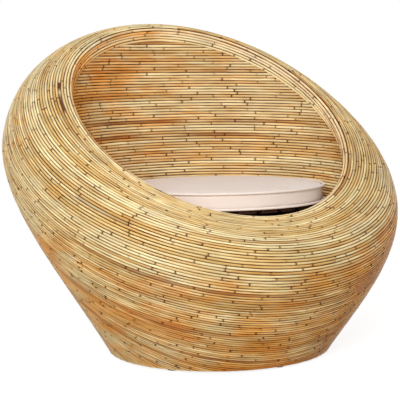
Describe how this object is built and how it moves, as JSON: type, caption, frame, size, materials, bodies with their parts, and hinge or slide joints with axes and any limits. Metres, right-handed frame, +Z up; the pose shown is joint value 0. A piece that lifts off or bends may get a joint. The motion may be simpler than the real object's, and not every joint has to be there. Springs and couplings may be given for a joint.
{
  "type": "round cane lounge chair with a cushion",
  "caption": "Round double-walled cane lounge chair with a tilted opening, a rolled rim, a narrow base on glides and a loose round box cushion.",
  "frame": {"origin": "on the floor under the middle of the chair's bounding box", "axes": "+Z up; the front, where the rim is low, looks to -Y; X runs from left to right"},
  "size_m": [1.012, 1.0154, 0.8459],
  "materials": {
    "outer_cane": "clear varnish",
    "lining_cane": "clear varnish",
    "rattan_pole": "natural",
    "lath": "natural",
    "glide_plastic": "matte",
    "pin_steel": "plain",
    "cushion_cloth": "plain weave",
    "piping_cloth": "plain weave",
    "foam": "open-cell foam"
  },
  "bodies": {
    "chair": {"glides": "glide_plastic", "glide_pins": "pin_steel", "base_hoop": "rattan_pole", "base_rails": "rattan_pole", "seat_posts": "rattan_pole", "outer_ribs": "lath", "belly_hoop": "rattan_pole", "rim_hoop": "rattan_pole", "lining_ribs": "lath", "seat_hoop": "rattan_pole", "seat_bearers": "lath", "seat_slats": "lath", "lower_skin": "outer_cane", "upper_skin": "outer_cane", "rim_roll": "outer_cane", "lining": "lining_cane"},
    "cushion": {"cushion_foam": "foam", "cushion_side_band": "cushion_cloth", "cushion_top_panel": "cushion_cloth", "cushion_bottom_panel": "cushion_cloth", "cushion_piping_top": "piping_cloth", "cushion_piping_bottom": "piping_cloth"}
  },
  "joints": [
    {"name": "cushion_lift", "type": "slide", "parent": "chair", "child": "cushion", "axis": [0, 0, 1], "range_m": [0, 0.5]}
  ]
}
